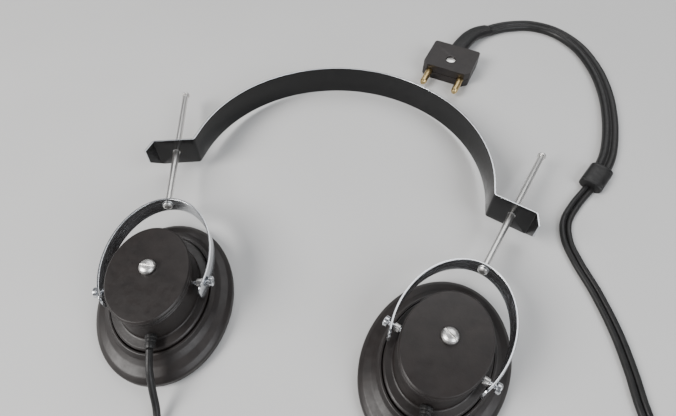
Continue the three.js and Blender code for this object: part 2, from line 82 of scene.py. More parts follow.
def side_frames(name):
    """One side's frames: ear, on the table under the earpiece's middle; yoke, on the rod's line; pivot."""
    tilt, swivel = JOINTS[f"ear_tilt_{name}"], JOINTS[f"yoke_swivel_{name}"]
    pivot, across, along = Vector(tilt["pos_m"]), Vector(tilt["axis"]), Vector(swivel["axis"])
    middle = pivot - along * PIVOT_Y * MM
    level = Vector((0, 0, 1)).cross(across)
    return {
        "ear": axes((middle.x, middle.y, 0), across, level),
        "yoke": axes(middle, across, along),
        "pivot": axes(pivot, across, level),
    }


FRAMES = {name: side_frames(name) for name in SIDES}
MIDDLE = FRAMES["right"]["yoke"].translation
ROD_DIRECTION = Vector(JOINTS["yoke_swivel_right"]["axis"])
LEAN = math.atan2(-ROD_DIRECTION.z, ROD_DIRECTION.y)
SPLAY = math.asin(ROD_DIRECTION.x)
TABLE_FRAME = axes((0, MIDDLE.y, 0), (1, 0, 0), (0, 1, 0))
BAND_FRAME = axes((0, MIDDLE.y, MIDDLE.z), (1, 0, 0), (0, math.cos(LEAN), -math.sin(LEAN)))

# ------------------------------------------------------------------------------------------------------------
# Outlines and paths
# ------------------------------------------------------------------------------------------------------------


def rounded(outline, steps=5):
    """An outline of (x, y, radius) corners as (x, y) points, each corner with its radius as a fillet."""
    points = []
    count = len(outline)
    for i, corner in enumerate(outline):
        p = Vector(corner[:2])
        radius = corner[2] if len(corner) > 2 else 0
        if radius <= 0 or i in (0, count - 1):
            points.append(tuple(p))
            continue
        before = (Vector(outline[i - 1][:2]) - p).normalized()
        after = (Vector(outline[i + 1][:2]) - p).normalized()
        turn = math.pi - before.angle(after)
        reach = radius * math.tan(turn / 2)
        start, end = p + before * reach, p + after * reach
        middle = p + (before + after).normalized() * (radius / math.cos(turn / 2))
        for k in range(steps + 1):
            arm = (start - middle).slerp(end - middle, k / steps)
            points.append(tuple(middle + radius * arm))
    return points


def smooth_curve(points, step):
    """A centripetal Catmull-Rom curve through the points, with a point about every step."""
    p = np.array(points, float)
    p = np.vstack([2 * p[0] - p[1], p, 2 * p[-1] - p[-2]])
    knots = np.concatenate([[0], np.cumsum(np.sqrt(np.linalg.norm(np.diff(p, axis=0), axis=1)))])
    made = []
    for i in range(1, len(p) - 2):
        t0, t1, t2, t3 = knots[i - 1 : i + 3]
        count = max(2, math.ceil(np.linalg.norm(p[i + 1] - p[i]) / step))
        t = np.linspace(t1, t2, count, endpoint=False)[:, None]
        a1 = (t1 - t) / (t1 - t0) * p[i - 1] + (t - t0) / (t1 - t0) * p[i]
        a2 = (t2 - t) / (t2 - t1) * p[i] + (t - t1) / (t2 - t1) * p[i + 1]
        a3 = (t3 - t) / (t3 - t2) * p[i + 1] + (t - t2) / (t3 - t2) * p[i + 2]
        b1 = (t2 - t) / (t2 - t0) * a1 + (t - t0) / (t2 - t0) * a2
        b2 = (t3 - t) / (t3 - t1) * a2 + (t - t1) / (t3 - t1) * a3
        made.append((t2 - t) / (t2 - t1) * b1 + (t - t1) / (t2 - t1) * b2)
    return np.vstack([*made, p[-2]])


def lengths_along(path):
    return np.concatenate([[0], np.cumsum(np.linalg.norm(np.diff(path, axis=0), axis=1))])


def headings(path):
    ahead = np.gradient(np.asarray(path, float), axis=0)
    return ahead / np.linalg.norm(ahead, axis=1)[:, None]


# ------------------------------------------------------------------------------------------------------------
# Meshes
# ------------------------------------------------------------------------------------------------------------

ALONG_Y = Matrix.Rotation(math.radians(-90), 4, "X")  # turns a lathe's Z to a frame's +Y
ALONG_X = Matrix.Rotation(math.radians(90), 4, "Y")  # turns a lathe's Z to a frame's +X


def add_piece(name, points, faces, place, uvs=None):
    """A smooth-shaded mesh object whose points are given in millimetres in the frame called place."""
    mesh = bpy.data.meshes.new(name)
    mesh.from_pydata([place @ Vector(p) for p in points], [], faces)
    if uvs is not None:
        layer = mesh.uv_layers.new(name="surface")
        layer.data.foreach_set("uv", np.array(uvs, float).ravel())
    shaped = bmesh.new()
    shaped.from_mesh(mesh)
    bmesh.ops.recalc_face_normals(shaped, faces=shaped.faces)
    shaped.to_mesh(mesh)
    shaped.free()
    piece = bpy.data.objects.new(name, mesh)
    bpy.context.scene.collection.objects.link(piece)
    smooth(piece)
    return piece


def smooth(piece, sharp_angle=38):
    piece.data.shade_smooth()
    piece.data.set_sharp_from_angle(angle=math.radians(sharp_angle))


def grid_faces(rows, columns, close_rows=False):
    """Quads of a grid whose columns close round, with the grid position of each face corner."""
    faces, corners = [], []
    for i in range(rows if close_rows else rows - 1):
        for j in range(columns):
            cells = [(i, j), (i, j + 1), (i + 1, j + 1), (i + 1, j)]
            faces.append([(a % rows) * columns + b % columns for a, b in cells])
            corners += cells
    return faces, corners


def lathe(name, profile, place, segments=64, oval=1.0):
    """A shape turned about Z from a profile of (radius, z) points, stretched along Y by oval.

    A profile that starts and ends on the axis is a solid, and any other is closed into a ring.
    """
    solid = profile[0][0] == 0 and profile[-1][0] == 0
    ring = [p for p in profile if p[0] > 0] if solid else profile
    angles = np.linspace(0, 2 * math.pi, segments, endpoint=False)
    points = [(r * math.cos(a), oval * r * math.sin(a), z) for r, z in ring for a in angles]
    faces, corners = grid_faces(len(ring), segments, close_rows=not solid)
    along = lengths_along(np.array(ring + ring[:1]))
    uvs = [(j / segments, along[i]) for i, j in corners]
    if solid:
        for end, row in ((profile[0], 0), (profile[-1], len(ring) - 1)):
            points.append((0, 0, end[1]))
            for j in range(segments):
                faces.append([len(points) - 1, row * segments + j, row * segments + (j + 1) % segments])
                uvs += [(j / segments, along[row])] * 3
    return add_piece(name, points, faces, place, uvs)


def sweep(name, path, sections, place, across):
    """A closed solid: one section of (side, height) points for each point of the path.

    across gives the direction of the sections' first coordinate at each point of the path.
    """
    ahead = headings(path)
    across = np.asarray(across, float)
    across = across - (across * ahead).sum(1)[:, None] * ahead
    across /= np.linalg.norm(across, axis=1)[:, None]
    up = np.cross(across, ahead)
    sections = np.asarray(sections, float)
    points = path[:, None] + sections[..., :1] * across[:, None] + sections[..., 1:] * up[:, None]
    rows, columns = points.shape[:2]
    faces, corners = grid_faces(rows, columns)
    along = lengths_along(path)
    uvs = [(along[i], j / columns) for i, j in corners]
    for row in (0, rows - 1):
        faces.append([row * columns + j for j in range(columns)])
        uvs += [(along[row], j / columns) for j in range(columns)]
    return add_piece(name, points.reshape(-1, 3).tolist(), faces, place, uvs)


def level_across(path):
    """The level direction to the right of the path at each point."""
    ahead = headings(path)
    return np.stack([ahead[:, 1], -ahead[:, 0], np.zeros(len(ahead))], axis=1)


def circle(radius, sides=16):
    turn = np.linspace(0, 2 * math.pi, sides, endpoint=False)
    return np.stack([radius * np.cos(turn), radius * np.sin(turn)], axis=1)


def tube(name, path, section, place=TABLE_FRAME):
    """A cord of one section along a path in the headphones' table frame."""
    return sweep(name, path, np.repeat(section[None], len(path), axis=0), place, level_across(path))


def cut(piece, *cutters):
    """Takes the cutters' volumes out of a piece, and removes the cutters."""
    for cutter in cutters:
        modifier = piece.modifiers.new("cut", "BOOLEAN")
        modifier.object = cutter
        modifier.solver = "EXACT"
    evaluated = piece.evaluated_get(bpy.context.evaluated_depsgraph_get())
    mesh = bpy.data.meshes.new_from_object(evaluated)
    piece.modifiers.clear()
    piece.data = mesh
    for cutter in cutters:
        bpy.data.objects.remove(cutter)
    smooth(piece)
    return piece


def drill(radius, low, high, place, turn=None):
    """A round cutter along Z in a frame, or along the Z of that frame turned by a matrix."""
    profile = [(0, low), (radius, low), (radius, high), (0, high)]
    return lathe("cutter", profile, place @ turn if turn else place, segments=32)


def block(size, place):
    """A box cutter, centred on its frame."""
    x, y, z = (s / 2 for s in size)
    points = [(a, b, c) for a in (-x, x) for b in (-y, y) for c in (-z, z)]
    faces = [(0, 1, 3, 2), (4, 6, 7, 5), (0, 4, 5, 1), (2, 3, 7, 6), (0, 2, 6, 4), (1, 5, 7, 3)]
    return add_piece("cutter", points, faces, place)


def bevelled_copy(name, node, width, segments=3):
    """A CAD node's shape with its flat faces made whole and its edges rounded."""
    shaped = bmesh.new()
    shaped.from_mesh(frame["nodes"][node].data)
    bmesh.ops.remove_doubles(shaped, verts=shaped.verts, dist=1e-6)
    bmesh.ops.dissolve_limit(shaped, angle_limit=math.radians(2), verts=shaped.verts, edges=shaped.edges)
    mesh = bpy.data.meshes.new(name)
    shaped.to_mesh(mesh)
    shaped.free()
    piece = bpy.data.objects.new(name, mesh)
    bpy.context.scene.collection.objects.link(piece)
    bevel = piece.modifiers.new("edges", "BEVEL")
    bevel.width = width * MM
    bevel.segments = segments
    bevel.limit_method = "ANGLE"
    bevel.angle_limit = math.radians(30)
    bevel.harden_normals = True
    smooth(piece)
    return piece


def finish_piece(piece, body, material, slot, *nodes):
    """Gives a finished piece its material and its body, and hides the CAD nodes that it stands for; its record
    slot is not used.
    """
    if not piece.data.materials:
        piece.data.materials.append(material)
    if body:
        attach(piece, body)
    if nodes:
        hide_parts(*nodes)
    return piece


# ------------------------------------------------------------------------------------------------------------
# Materials
# ------------------------------------------------------------------------------------------------------------


class Finish:
    """A Principled material, with short calls for the texture nodes that feed it."""

    def __init__(self, name, **uniform):
        self.material = bpy.data.materials.new(name)
        self.material.use_nodes = True
        self.nodes = self.material.node_tree.nodes
        self.links = self.material.node_tree.links
        self.shader = self.nodes["Principled BSDF"]
        for socket, value in uniform.items():
            self.shader.inputs[socket.replace("_", " ")].default_value = value
        self.coordinates = self.nodes.new("ShaderNodeTexCoord")

    def stretched(self, source, scale):
        """Texture coordinates from Object or UV, stretched by a scale on each axis."""
        mapping = self.nodes.new("ShaderNodeMapping")
        mapping.inputs["Scale"].default_value = scale
        self.links.new(self.coordinates.outputs[source], mapping.inputs["Vector"])
        return mapping.outputs["Vector"]

    def noise(self, scale, detail=3.0, rough=0.5, source="Object"):
        texture = self.nodes.new("ShaderNodeTexNoise")
        texture.inputs["Scale"].default_value = 1.0
        texture.inputs["Detail"].default_value = detail
        texture.inputs["Roughness"].default_value = rough
        stretch = scale if isinstance(scale, tuple) else (scale, scale, scale)
        self.links.new(self.stretched(source, stretch), texture.inputs["Vector"])
        return texture.outputs["Fac"]

    def ramp(self, factor, *stops):
        """Maps a factor through (position, value) stops, where a value is a number or a colour."""
        node = self.nodes.new("ShaderNodeValToRGB")
        elements = node.color_ramp.elements
        while len(elements) < len(stops):
            elements.new(0.5)
        for element, (position, value) in zip(elements, stops):
            colour = value if isinstance(value, tuple) else (value, value, value)
            element.position = position
            element.color = (*colour, 1.0)
        self.links.new(factor, node.inputs["Fac"])
        return node.outputs["Color"]

    def mix(self, factor, a, b):
        """a where the factor is 0 and b where it is 1; each is a socket or a colour."""
        node = self.nodes.new("ShaderNodeMix")
        node.data_type = "RGBA"
        for value, socket in ((factor, node.inputs[0]), (a, node.inputs[6]), (b, node.inputs[7])):
            if isinstance(value, tuple):
                socket.default_value = (*value, 1.0)
            else:
                self.links.new(value, socket)
        return node.outputs[2]

    def bump(self, *layers):
        """Height layers, each (factor, depth in metres), one on the other."""
        normal = None
        for factor, depth in layers:
            node = self.nodes.new("ShaderNodeBump")
            node.inputs["Strength"].default_value = 1.0
            node.inputs["Distance"].default_value = depth
            self.links.new(factor, node.inputs["Height"])
            if normal:
                self.links.new(normal, node.inputs["Normal"])
            normal = node.outputs["Normal"]
        self.links.new(normal, self.shader.inputs["Normal"])

    def feed(self, **sockets):
        for socket, output in sockets.items():
            self.links.new(output, self.shader.inputs[socket.replace("_", " ")])
        return self


def bakelite():
    """Dark brown-black phenolic: cloudy colour, moulding orange peel, faint dust and rubbing."""
    f = Finish("bakelite", IOR=1.5)
    clouds = f.noise(140, detail=4)
    colour = f.ramp(clouds, (0.32, (0.0105, 0.008, 0.0075)), (0.68, (0.0175, 0.0135, 0.0125)))
    dust = f.ramp(f.noise(900, detail=6, rough=0.7), (0.58, 0.0), (0.8, 0.14))
    rubbing = f.noise(320, detail=5, rough=0.6)
    f.feed(
        Base_Color=f.mix(dust, colour, (0.075, 0.068, 0.062)),
        Roughness=f.ramp(rubbing, (0.3, 0.38), (0.7, 0.5)),
    )
    f.bump((f.noise(1700, detail=2), 0.000018), (f.noise(260, detail=2), 0.00005))
    return f.material


def enamel():
    """Gloss black stove enamel on strip steel."""
    f = Finish("enamel", IOR=1.4)
    f.feed(
        Base_Color=f.ramp(
            f.noise(220, detail=4), (0.35, (0.004, 0.004, 0.0045)), (0.7, (0.008, 0.0078, 0.008))
        ),
        Roughness=f.ramp(f.noise(260, detail=5), (0.35, 0.14), (0.75, 0.26)),
    )
    f.bump((f.noise(420, detail=2), 0.00004), (f.noise(2600, detail=2), 0.000006))
    return f.material


def strip_steel():
    """Bright drawn strip: grain along the strip, which is the first surface coordinate."""
    f = Finish("strip_steel", Metallic=1.0)
    grain = f.noise((0.06, 160, 1), detail=5, rough=0.65, source="UV")
    stains = f.noise(160, detail=5, rough=0.6)
    f.feed(
        Base_Color=f.mix(
            f.ramp(stains, (0.55, 0.0), (0.8, 0.45)), (0.72, 0.74, 0.77), (0.48, 0.47, 0.45)
        ),
        Roughness=f.ramp(grain, (0.3, 0.16), (0.75, 0.34)),
    )
    f.bump((grain, 0.000012), (f.noise(500, detail=3), 0.00001))
    return f.material


def nickel():
    """Satin nickel plate with fine turning marks round the axis."""
    f = Finish("nickel", Metallic=1.0)
    turning = f.noise((2, 22, 1), detail=4, rough=0.6, source="UV")
    wear = f.noise(420, detail=5, rough=0.6)
    f.feed(
        Base_Color=f.mix(
            f.ramp(wear, (0.58, 0.0), (0.82, 0.4)), (0.86, 0.85, 0.83), (0.6, 0.58, 0.54)
        ),
        Roughness=f.ramp(turning, (0.3, 0.3), (0.75, 0.46)),
    )
    f.bump((turning, 0.000012), (f.noise(1500, detail=3), 0.000008))
    return f.material


def cord_rubber():
    """Soft black cord covering: satin, with a fine grain and a little lint."""
    f = Finish("cord_rubber", IOR=1.45, Sheen_Weight=0.03, Sheen_Roughness=0.5)
    lint = f.ramp(f.noise(1600, detail=6, rough=0.75), (0.6, 0.0), (0.85, 0.3))
    f.feed(
        Base_Color=f.mix(
            lint,
            f.ramp(f.noise(300, detail=3), (0.3, (0.006, 0.006, 0.0062)), (0.7, (0.0115, 0.011, 0.011))),
            (0.06, 0.058, 0.055),
        ),
        Roughness=f.ramp(f.noise(500, detail=4), (0.3, 0.36), (0.7, 0.52)),
    )
    f.bump((f.noise(3800, detail=2), 0.00003), (f.noise(700, detail=2), 0.00005))
    return f.material


def metal(name, light, dark, smoothest, roughest, bump=0.00001):
    """A plain workshop metal with stains and an uneven polish."""
    f = Finish(name, Metallic=1.0)
    stains = f.noise(520, detail=5, rough=0.65)
    f.feed(
        Base_Color=f.mix(f.ramp(stains, (0.4, 0.0), (0.75, 1.0)), light, dark),
        Roughness=f.ramp(f.noise(900, detail=4), (0.3, smoothest), (0.7, roughest)),
    )
    f.bump((f.noise(2400, detail=3), bump))
    return f.material


def winding():
    """Silk-covered wire, wound in fine turns."""
    f = Finish("winding")
    turns = f.noise((200, 200, 9000), detail=2)
    f.feed(
        Base_Color=f.ramp(turns, (0.3, (0.03, 0.11, 0.05)), (0.7, (0.09, 0.26, 0.13))),
        Roughness=f.ramp(turns, (0.3, 0.45), (0.7, 0.7)),
    )
    f.bump((turns, 0.00005))
    return f.material


MATERIALS = {
    "bakelite": bakelite(),
    "enamel": enamel(),
    "steel": strip_steel(),
    "nickel": nickel(),
    "cord_rubber": cord_rubber(),
    "brass": metal("brass", (0.74, 0.56, 0.27), (0.5, 0.35, 0.15), 0.22, 0.4),
    "iron": metal("iron", (0.34, 0.34, 0.35), (0.18, 0.16, 0.15), 0.4, 0.6),
    "magnet_steel": metal("magnet_steel", (0.14, 0.15, 0.17), (0.07, 0.07, 0.08), 0.35, 0.55),
    "winding": winding(),
}

# ------------------------------------------------------------------------------------------------------------
# Camera, light and floor
# ------------------------------------------------------------------------------------------------------------

CAMERA_PLACE = (0.0332, -0.1217, 0.190)
CAMERA_TARGET = (0.0026, 0.0064, 0.0)
CAMERA_LENS = 24
SENSOR_WIDTH = 36


def aim(thing, place, target):
    thing.location = place
    thing.rotation_euler = (Vector(target) - Vector(place)).to_track_quat("-Z", "Y").to_euler()


def make_camera():
    data = bpy.data.cameras.new("camera")
    data.lens = CAMERA_LENS
    data.sensor_width = SENSOR_WIDTH
    data.clip_start = 0.005
    camera = bpy.data.objects.new("camera", data)
    bpy.context.scene.collection.objects.link(camera)
    aim(camera, CAMERA_PLACE, CAMERA_TARGET)
    bpy.context.scene.camera = camera


def soft_light(name, place, target, size, power, colour=(1, 1, 1)):
    data = bpy.data.lights.new(name, "AREA")
    data.shape = "RECTANGLE"
    data.size, data.size_y = size
    data.energy = power
    data.color = colour
    light = bpy.data.objects.new(name, data)
    bpy.context.scene.collection.objects.link(light)
    aim(light, place, target)


def make_lights():
    middle = (0.0, 0.0, 0.0)
    soft_light("key", (-0.75, -0.55, 0.8), middle, (0.6, 0.6), 18.0, (1.0, 0.98, 0.96))
    soft_light("fill", (0.8, -0.4, 0.7), middle, (0.7, 0.7), 8.0, (0.95, 0.97, 1.0))
    soft_light("overhead", (0.05, 0.75, 0.95), middle, (1.3, 0.7), 7.0)
    world = bpy.data.worlds.new("studio")
    world.use_nodes = True
    background = world.node_tree.nodes["Background"]
    background.inputs["Color"].default_value = (0.86, 0.88, 0.92, 1)
    background.inputs["Strength"].default_value = 0.16
    bpy.context.scene.world = world


def make_floor():
    half = 3.0
    mesh = bpy.data.meshes.new("floor")
    corners = [(-half, -half, 0), (half, -half, 0), (half, half, 0), (-half, half, 0)]
    mesh.from_pydata(corners, [], [(0, 1, 2, 3)])
    floor = bpy.data.objects.new("floor", mesh)
    bpy.context.scene.collection.objects.link(floor)
    f = Finish("floor")
    f.feed(
        Base_Color=f.ramp(f.noise(8, detail=2), (0.3, (0.6, 0.6, 0.595)), (0.7, (0.63, 0.63, 0.625))),
        Roughness=f.ramp(f.noise(60, detail=2), (0.3, 0.6), (0.7, 0.7)),
    )
    mesh.materials.append(f.material)


make_camera()
make_lights()
make_floor()

# ------------------------------------------------------------------------------------------------------------
# Cords
# ------------------------------------------------------------------------------------------------------------

LEAD_DIAMETER = 2.8
LEAD_PITCH = 2.9
LEAD_Z = LEAD_DIAMETER / 2
UPPER_LAYER_Z = LEAD_Z + LEAD_DIAMETER
TWIN_STRAND = 4.4
LEAD_STEP = 1.2

# the free stretches' points are the CAD routes', in millimetres in the headphones' table frame
LEAD_ROUTES = {
    "left": [
        (-50.3, -25.4, 15.6), (-47.9, -31.6, 13.9), (-45.2, -37.6, 9.6), (-42.6, -43.1, 4.6),
        (-40.2, -48.8, 1.9), (-36.8, -56, LEAD_Z), (-30, -64, LEAD_Z), (-19, -69.8, LEAD_Z),
        (-4, -72.6, LEAD_Z), (20, -73.4, LEAD_Z), (50, -73.5, LEAD_Z), (82, -73.5, LEAD_Z),
        (110.5, -73.4, LEAD_Z),
    ],
    "right": [
        (55.8, -26.8, 15.6), (54.6, -32.6, 13.9), (52.6, -38.4, 9.6), (50.4, -44, 4.6),
        (48.6, -49.8, 1.9), (48.1, -56.6, LEAD_Z), (50.8, -63.2, LEAD_Z), (57, -68, LEAD_Z),
        (66, -70.3, LEAD_Z), (84, -70.6, LEAD_Z), (106.5, -70.5, LEAD_Z),
    ],
}
PAIR_ROUTE = [
    (145.3, -12.6), (142.6, -6.2), (140.2, 2), (137.8, 14.4), (133.7, 30), (126.8, 47.5), (119.3, 62.3),
    (115.4, 73), (115.3, 84), (120.1, 95.6), (126.9, 107),
]
TWIN_ROUTE = [
    (136, 124.4), (139.2, 133.5), (141.6, 145), (143.5, 165), (142.9, 188), (138.3, 211), (128.6, 232),
    (114.4, 245), (98.6, 248.6), (83.2, 244.3), (74.4, 239.3), (70.4, 236.3),
]
BOOT_ROUTE = [
    (69.9, 235.9, 2.8), (66, 233, 3.1), (61.8, 228.9, 3.7), (57.2, 221.9, 4.3), (53.2, 212.4, 4.7),
    (51, 205.9, 4.75), (49.2, 198.2, 4.75),
]
LEAD_BENDS = {  # where the lead starts and ends its change from the rod to the headband, on the table
    "left": ((-30, -64), (20, -72)),
    "right": ((50.8, -63.2), (80.8, -66.2)),
}

# the coil holds both leads side by side: in on the table, up near the middle and out again on top
COIL_CENTRE = (130, -44)
COIL_OUTER = 28.0
COIL_INNER = 9.6
COIL_ENTRY = -90.0
COIL_EXIT = 25.0
TURNS_IN = 3.0
TURNS_CLIMB = 0.15
TURNS_OUT = 3 + (COIL_EXIT - COIL_ENTRY) / 360 - TURNS_CLIMB


def coil_points(offset):
    """One lead's line in the coil, a distance outside the middle line of the pair."""
    turns = np.linspace(0, TURNS_IN + TURNS_CLIMB + TURNS_OUT, 260)
    radius = np.interp(
        turns,
        [0, TURNS_IN, TURNS_IN + TURNS_CLIMB, turns[-1]],
        [COIL_OUTER, COIL_INNER, COIL_INNER, COIL_OUTER],
    )
    climb = np.clip((turns - TURNS_IN) / TURNS_CLIMB, 0, 1)
    z = LEAD_Z + (UPPER_LAYER_Z - LEAD_Z) * (climb * climb * (3 - 2 * climb))
    angle = np.radians(COIL_ENTRY) + 2 * math.pi * turns
    x = COIL_CENTRE[0] + (radius + offset) * np.cos(angle)
    y = COIL_CENTRE[1] + (radius + offset) * np.sin(angle)
    return np.stack([x, y, z], axis=1)


def sideways(route, distance):
    """A level route moved sideways, to its right for a positive distance."""
    path = np.array(route, float)
    return path + distance * level_across(np.column_stack([path, np.zeros(len(path))]))[:, :2]


def lead_path(name, side):
    """A lead's whole line, from its boot to the splitter."""
    offset = -side * LEAD_PITCH / 2
    coil = coil_points(offset)
    middle = sideways(PAIR_ROUTE, offset)
    upper = [(x, y, LEAD_Z) for x, y in middle]
    end = np.array(upper[-1]) + (np.array(upper[-1]) - np.array(upper[-2])) * 0.25
    return smooth_curve([*LEAD_ROUTES[name], *coil[4:-4:2], *upper, end], LEAD_STEP)


def part_of(path, start, end):
    return path[start : end + 1]


def nearest_index(path, point):
    return int(np.linalg.norm(path[:, : len(point)] - np.array(point), axis=1).argmin())


def make_lead(name, side):
    """One lead in three lengths: at the boot, falling, and on the table."""
    path = lead_path(name, side)
    section = circle(LEAD_DIAMETER / 2)
    first = nearest_index(path, LEAD_ROUTES[name][3])
    second = nearest_index(path, LEAD_BENDS[name][0])
    material, slot = MATERIALS["cord_rubber"], "cord_rubber"
    lengths = [
        (f"lead_{name}_at_boot", 0, first, f"earpiece_{name}", f"yoke_{name}"),
        (f"lead_{name}_falling", first, second, f"yoke_{name}", f"rod_{name}"),
    ]
    for piece_name, start, end, a, b in lengths:
        piece = tube(piece_name, part_of(path, start, end), section)
        finish_piece(piece, None, material, slot)
        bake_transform(piece)
    line = part_of(path, second, len(path) - 1)
    lead = tube(f"lead_{name}_on_table", line, section)
    finish_piece(lead, None, material, slot, f"lead_{name}", f"lead_{name}_upper", "lead_coil")
    start, end = LEAD_BENDS[name]
    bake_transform(lead)


def twin_section(sides=14):
    """Two round strands that touch, with the groove between them part filled."""
    radius, join = TWIN_STRAND / 2, math.radians(28)
    turn = np.linspace(-math.pi + join, math.pi - join, sides)
    right = np.stack([radius + radius * np.cos(turn), radius * np.sin(turn)], axis=1)
    return np.vstack([right, -right])


def make_twin(pieces):
    """The twin cable from the splitter to the plug's boot."""
    route = [(x, y, TWIN_STRAND / 2) for x, y in TWIN_ROUTE]
    inward = np.array(route[0]) - (np.array(route[1]) - np.array(route[0])) * 0.35
    path = smooth_curve([inward, *route, BOOT_ROUTE[1]], 1.6)
    twin = tube("twin_cable_strands", path, twin_section())
    finish_piece(twin, "headband", MATERIALS["cord_rubber"], "cord_rubber", "twin_cable")


def flat_round(width, height, sides=32, power=2.6):
    """A flat section with full round edges."""
    turn = np.linspace(0, 2 * math.pi, sides, endpoint=False)
    round_line = np.stack([np.cos(turn), np.sin(turn)], axis=1)
    flattened = np.sign(round_line) * np.abs(round_line) ** (2 / power)
    return flattened * [width / 2, height / 2]


def make_splitter():
    """The moulded sleeve where the two leads join the twin cable, with a crimp near each end."""
    width, length, height = 12.0, 16.0, 6.0
    start, end = np.array(PAIR_ROUTE[-1]), np.array(TWIN_ROUTE[0])
    middle, ahead = (start + end) / 2, (end - start) / np.linalg.norm(end - start)
    stations = [-8, -7.9, -7.5, -6.8, -6.2, -5.7, -5.3, -4.8, 0, 4.8, 5.3, 5.7, 6.2, 6.8, 7.5, 7.9, 8]
    scales = [0.84, 0.92, 0.98, 1, 1, 0.955, 1, 1, 1, 1, 1, 0.955, 1, 1, 0.98, 0.92, 0.84]
    path = np.array([(*(middle + ahead * s * length / 16), height / 2) for s in stations])
    sections = [flat_round(width, height) * s for s in scales]
    sleeve = sweep("splitter_sleeve", path, sections, TABLE_FRAME, level_across(path))
    return finish_piece(sleeve, "headband", MATERIALS["cord_rubber"], "cord_rubber", "splitter")


def make_plug_boot():
    """The plug's boot: broad where it grips the plug, and narrowing to the cable."""
    path = smooth_curve(BOOT_ROUTE, 0.8)
    along = lengths_along(path) / lengths_along(path)[-1]
    width = np.interp(along, [0, 0.04, 0.12, 1], [9.0, 9.8, 10.2, 11.0])
    height = np.interp(along, [0, 0.04, 0.12, 1], [4.6, 5.6, 6.0, 6.6])
    sections = [flat_round(w, h, power=2.3) for w, h in zip(width, height)]
    boot = sweep("plug_boot_sleeve", path, sections, TABLE_FRAME, level_across(path))
    return finish_piece(boot, "headband", MATERIALS["cord_rubber"], "cord_rubber", "plug_boot")


PLUG_LENGTH = 25.6
PIN_ROOT_Y = 11 - PLUG_LENGTH
PIN_LENGTH = 24.0
PIN_HALF_SPACING = 10.0
PLUG_SCREW_Y = -15.0


def plug_frame():
    """The plug's frame: its origin at the middle of the cord end, its pins towards -Y."""
    pins = [sum(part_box(f"plug_pin_{end}"), Vector()) / 2 for end in ("left", "right")]
    across = (pins[1] - pins[0]).normalized()
    forward = Vector((0, 0, 1)).cross(across)
    low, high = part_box("plug_shell_lower")[0].z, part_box("plug_shell_upper")[1].z
    pin_middle = (pins[0] + pins[1]) / 2
    back = pin_middle + forward * (PIN_LENGTH / 2 - PIN_ROOT_Y) * MM
    return axes((back.x, back.y, (low + high) / 2), across, forward)


def make_plug():
    """The two shells with rounded edges, the pins and the screw."""
    place = plug_frame()
    pieces = []
    for part in ("lower", "upper"):
        node = f"plug_shell_{part}"
        shell = bevelled_copy(f"plug_half_{part}", node, 0.45)
        pieces.append(finish_piece(shell, "headband", MATERIALS["bakelite"], "bakelite", node))
    for end, name in ((-1, "left"), (1, "right")):
        tip = -PIN_LENGTH
        profile = rounded([(0, 0), (2, 0, 0.2), (2, tip + 1.6, 0.6), (1.25, tip, 0.5), (0, tip)])
        turn = Matrix.Translation((end * PIN_HALF_SPACING, PIN_ROOT_Y, 0)) @ ALONG_Y
        pin = lathe(f"plug_contact_{name}", profile, place @ turn, segments=40)
        pieces.append(finish_piece(pin, "headband", MATERIALS["brass"], "brass", f"plug_pin_{name}"))
    seat = 3.05
    top = seat + 1.4
    profile = rounded([(0, -3), (1.5, -3), (1.5, seat), (2.8, seat, 0.05), (2.8, seat + 1, 0.35), (0, top)])
    at = place @ Matrix.Translation((0, PLUG_SCREW_Y, 0))
    screw = lathe("plug_clamp_screw", profile, at, segments=48)
    slot_turn = Matrix.Translation((0, 0, top)) @ Matrix.Rotation(math.radians(20), 4, "Z")
    cut(screw, block((8, 0.7, 1.2), at @ slot_turn))
    pieces.append(finish_piece(screw, "headband", MATERIALS["nickel"], "nickel", "plug_screw"))
    return pieces


for side_name, side_sign in SIDES.items():
    make_lead(side_name, side_sign)
make_twin([make_splitter(), make_plug_boot(), *make_plug()])

# ------------------------------------------------------------------------------------------------------------
# Headband
# ------------------------------------------------------------------------------------------------------------

STRIP = 0.9
BAND_HEIGHT = 16.0
ARCH_RADIUS = 75.2
ARCH_Y = 82.0
INNER_CORNER = (75.4, 76.6)
PLATE_LENGTH = 20.0
OUTER_CORNER = (
    INNER_CORNER[0] + PLATE_LENGTH * math.cos(SPLAY),
    INNER_CORNER[1] - PLATE_LENGTH * math.sin(SPLAY),
)
LIP_END = (OUTER_CORNER[0] + 0.5, OUTER_CORNER[1] - 7.5)
LIP_END_HEIGHT = 8.0
ROD_HOLE_RADIUS = 1.85
EDGE_RADIUS = 0.18


def strip_section(half_thickness, half_height, radius=EDGE_RADIUS, steps=3):
    """A rectangle with small round corners, as (side, height) points."""
    corners = [(1, 1), (-1, 1), (-1, -1), (1, -1)]
    points = []
    for k, (sx, sy) in enumerate(corners):
        centre = (sx * (half_thickness - radius), sy * (half_height - radius))
        for i in range(steps + 1):
            angle = math.pi / 2 * (k + i / steps)
            points.append((centre[0] + radius * math.cos(angle), centre[1] + radius * math.sin(angle)))
    return points


def band_path():
    """The strip's centre line from one lip's tip round the arch to the other's."""
    corners = [(*LIP_END, 0), (*OUTER_CORNER, 1.1), (*INNER_CORNER, 1.1), (ARCH_RADIUS, ARCH_Y, 0)]
    end = np.array(rounded(corners, steps=8)[:-1])
    turn = np.linspace(0, math.pi, 181)
    arch = np.stack([ARCH_RADIUS * np.cos(turn), ARCH_Y + ARCH_RADIUS * np.sin(turn)], axis=1)
    other = end[::-1] * [-1, 1]
    return np.column_stack([np.vstack([end, arch, other]), np.zeros(2 * len(end) + len(arch))])


